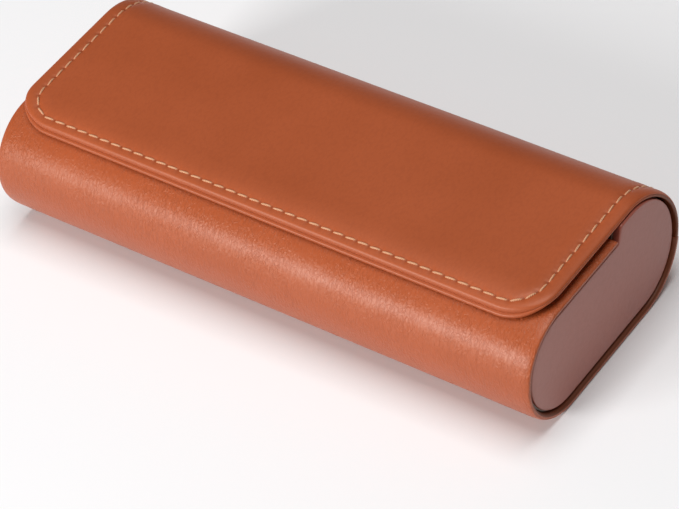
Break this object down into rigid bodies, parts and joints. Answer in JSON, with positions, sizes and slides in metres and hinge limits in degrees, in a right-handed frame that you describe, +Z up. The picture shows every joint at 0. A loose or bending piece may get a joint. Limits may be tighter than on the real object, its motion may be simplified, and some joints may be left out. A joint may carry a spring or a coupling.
{
  "type": "eyeglasses case",
  "caption": "Hard leather-covered eyeglasses case with rounded long sides, flat end panels and a stitched flap that folds over the top and closes with hidden magnets.",
  "frame": {"origin": "middle of the flat underside of the closed case", "axes": "+X along the case to the right end, +Y towards the hinge at the back, +Z up"},
  "size_m": [0.164, 0.067, 0.0357],
  "materials": {
    "tan_leather": "smooth satin",
    "soft_lining": "short velour",
    "former_sheet": "matte",
    "grey_board": "matte",
    "steel_disc": "satin",
    "plated_magnet": "bright plated",
    "light_thread": "waxed thread"
  },
  "bodies": {
    "case_body": {"shell_former": "former_sheet", "shell_cover": "tan_leather", "shell_lining": "soft_lining", "left_keeper_plate": "steel_disc", "right_keeper_plate": "steel_disc", "left_end_board": "grey_board", "right_end_board": "grey_board", "left_end_cover": "tan_leather", "right_end_cover": "tan_leather", "left_end_lining": "soft_lining", "right_end_lining": "soft_lining", "hinge_cover": "tan_leather", "hinge_facing": "tan_leather"},
    "flap": {"flap_cover": "tan_leather", "flap_facing": "tan_leather", "flap_board": "grey_board", "left_flap_magnet": "plated_magnet", "right_flap_magnet": "plated_magnet", "needle_thread": "light_thread", "bobbin_thread": "light_thread"}
  },
  "joints": [
    {"name": "flap_hinge", "type": "hinge", "parent": "case_body", "child": "flap", "pos_m": [0, 0.0328, 0.01428], "axis": [-1, 0, 0], "range_deg": [0, 150], "deforming": ["hinge_cover", "hinge_facing"]}
  ]
}
